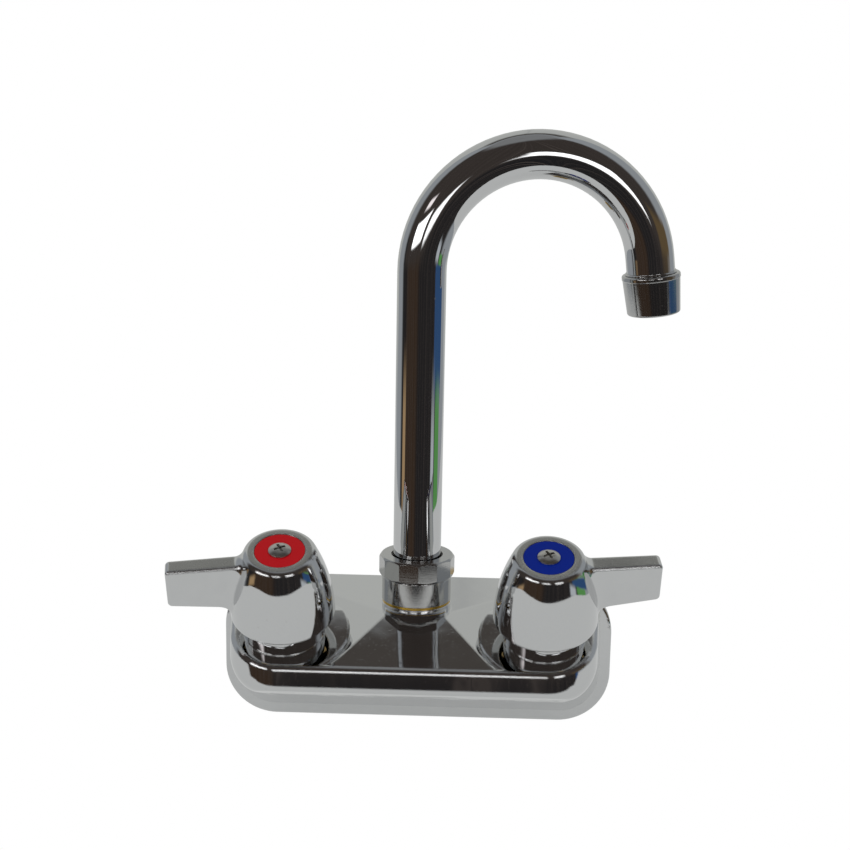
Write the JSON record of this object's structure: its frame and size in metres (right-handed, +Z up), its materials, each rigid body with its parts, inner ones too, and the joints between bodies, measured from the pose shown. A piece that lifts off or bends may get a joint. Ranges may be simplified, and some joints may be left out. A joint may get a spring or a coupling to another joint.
{
  "type": "wall-mounted basin mixer tap",
  "caption": "Wall-mounted mixer tap with a cast body, lever-turned hot and cold valves, and a swivelling gooseneck spout with an aerator.",
  "frame": {"origin": "centre of the flange's back face, in the plane of the wall", "axes": "+Y out of the back face into the wall, so the tap's front faces -Y; +Z up along the spout; +X to the cold valve's side"},
  "size_m": [0.1961, 0.142, 0.2541],
  "materials": {
    "chrome": "bright chrome plate on brass",
    "brass": "machined brass",
    "stainless": "stainless steel",
    "seal_rubber": "black sealing rubber",
    "white_plastic": "moulded acetal",
    "red_plastic": "red moulded disc",
    "blue_plastic": "blue moulded disc",
    "ceramic": "lapped alumina"
  },
  "bodies": {
    "tap_body": {"body_casting": "chrome", "seat_ring": "brass", "spout_sleeve": "chrome", "spout_nut": "chrome", "hot_inlet_shank": "brass", "hot_shank_washer": "seal_rubber", "hot_locknut": "brass", "hot_cartridge_body": "brass", "hot_bonnet_nut": "brass", "hot_base_seal": "seal_rubber", "hot_fixed_disc": "ceramic", "hot_thrust_washer": "white_plastic", "cold_inlet_shank": "brass", "cold_shank_washer": "seal_rubber", "cold_locknut": "brass", "cold_cartridge_body": "brass", "cold_bonnet_nut": "brass", "cold_base_seal": "seal_rubber", "cold_fixed_disc": "ceramic", "cold_thrust_washer": "white_plastic"},
    "spout": {"spout_tube": "chrome", "spout_foot_bush": "brass", "spout_o_rings": "seal_rubber", "spout_glide_ring": "white_plastic", "spout_tip_collar": "chrome", "aerator_housing": "chrome", "aerator_washer": "seal_rubber", "aerator_insert": "white_plastic", "aerator_screen": "stainless"},
    "hot_handle": {"hot_moving_disc": "ceramic", "hot_stem": "brass", "hot_stem_o_rings": "seal_rubber", "hot_lever": "chrome", "hot_index_disc": "red_plastic", "hot_handle_screw": "stainless"},
    "cold_handle": {"cold_moving_disc": "ceramic", "cold_stem": "brass", "cold_stem_o_rings": "seal_rubber", "cold_lever": "chrome", "cold_index_disc": "blue_plastic", "cold_handle_screw": "stainless"}
  },
  "joints": [
    {"name": "spout_swivel", "type": "hinge", "parent": "tap_body", "child": "spout", "pos_m": [0, -0.04, 0.045], "axis": [0, 0, 1], "continuous": true},
    {"name": "hot_lever_turn", "type": "hinge", "parent": "tap_body", "child": "hot_handle", "pos_m": [-0.0508, -0.0643, 0.03], "axis": [0, -0.3827, 0.9239], "range_deg": [0, 90]},
    {"name": "cold_lever_turn", "type": "hinge", "parent": "tap_body", "child": "cold_handle", "pos_m": [0.0508, -0.0643, 0.03], "axis": [0, -0.3827, 0.9239], "range_deg": [-90, 0]}
  ]
}
